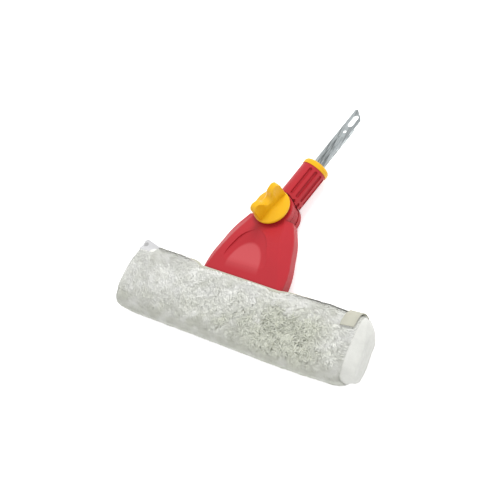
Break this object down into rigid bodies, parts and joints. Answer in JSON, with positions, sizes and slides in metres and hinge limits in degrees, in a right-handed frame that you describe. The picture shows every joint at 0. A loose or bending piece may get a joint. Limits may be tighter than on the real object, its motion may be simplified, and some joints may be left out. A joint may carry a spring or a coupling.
{
  "type": "window strip washer",
  "caption": "Fleece sleeve on a bar with a fan-shaped plastic housing, a sideways swivelling handle locked by a wing knob, and a flat steel tang.",
  "frame": {"origin": "on the sleeve's flat back, under the middle of the bar", "axes": "+X along the sleeve to its open end, +Y from the sleeve up the fan to the handle, +Z out of the front, along the clamp bolt"},
  "size_m": [0.3575, 0.3716, 0.0772],
  "materials": {
    "fleece": "long curly pile",
    "backing": "woven",
    "tape": "woven tape",
    "press_stud": "bright",
    "hook": "hook tape",
    "bar": "moulded",
    "red_plastic": "satin moulded",
    "yellow_plastic": "satin moulded",
    "tongue": "moulded",
    "friction": "fibre",
    "galvanised_steel": "zinc plated",
    "screw_steel": "zinc plated",
    "brass": "turned"
  },
  "bodies": {
    "head": {"fleece_pile": "fleece", "sleeve_backing": "backing", "front_hem": "tape", "rear_hem": "tape", "end_panel_left": "tape", "end_panel_right": "tape", "stud_tab": "tape", "stud_cap": "press_stud", "stud_socket": "press_stud", "closure_tab": "tape", "hook_tape": "hook", "t_bar": "bar", "bar_cap_left": "bar", "bar_cap_right": "bar", "bar_screws": "screw_steel", "front_shell": "red_plastic", "rear_shell": "red_plastic", "shell_screws": "screw_steel", "front_friction_disc": "friction", "rear_friction_disc": "friction", "clamp_bolt": "screw_steel"},
    "handle": {"swivel_tongue": "tongue", "pivot_bush": "brass", "fluted_collar": "red_plastic", "collar_ring": "yellow_plastic", "steel_tang": "galvanised_steel", "tang_pins": "screw_steel"},
    "clamp_washer": {"clamp_washer": "screw_steel"},
    "knob": {"wing_knob": "yellow_plastic", "knob_insert": "brass"}
  },
  "joints": [
    {"name": "handle_swivel", "type": "hinge", "parent": "head", "child": "handle", "pos_m": [0, 0.143, 0.025], "axis": [0, 0, 1], "range_deg": [-45, 75]},
    {"name": "washer_slide", "type": "slide", "parent": "head", "child": "clamp_washer", "axis": [0, 0, 1], "range_m": [0, 0.0025]},
    {"name": "knob_spin", "type": "hinge", "parent": "clamp_washer", "child": "knob", "pos_m": [0, 0.143, 0.045], "axis": [0, 0, 1], "range_deg": [0, 720]}
  ],
  "couplings": [
    {"joint": "washer_slide", "follows": "knob_spin", "m_per_rad": 0.00019894}
  ]
}
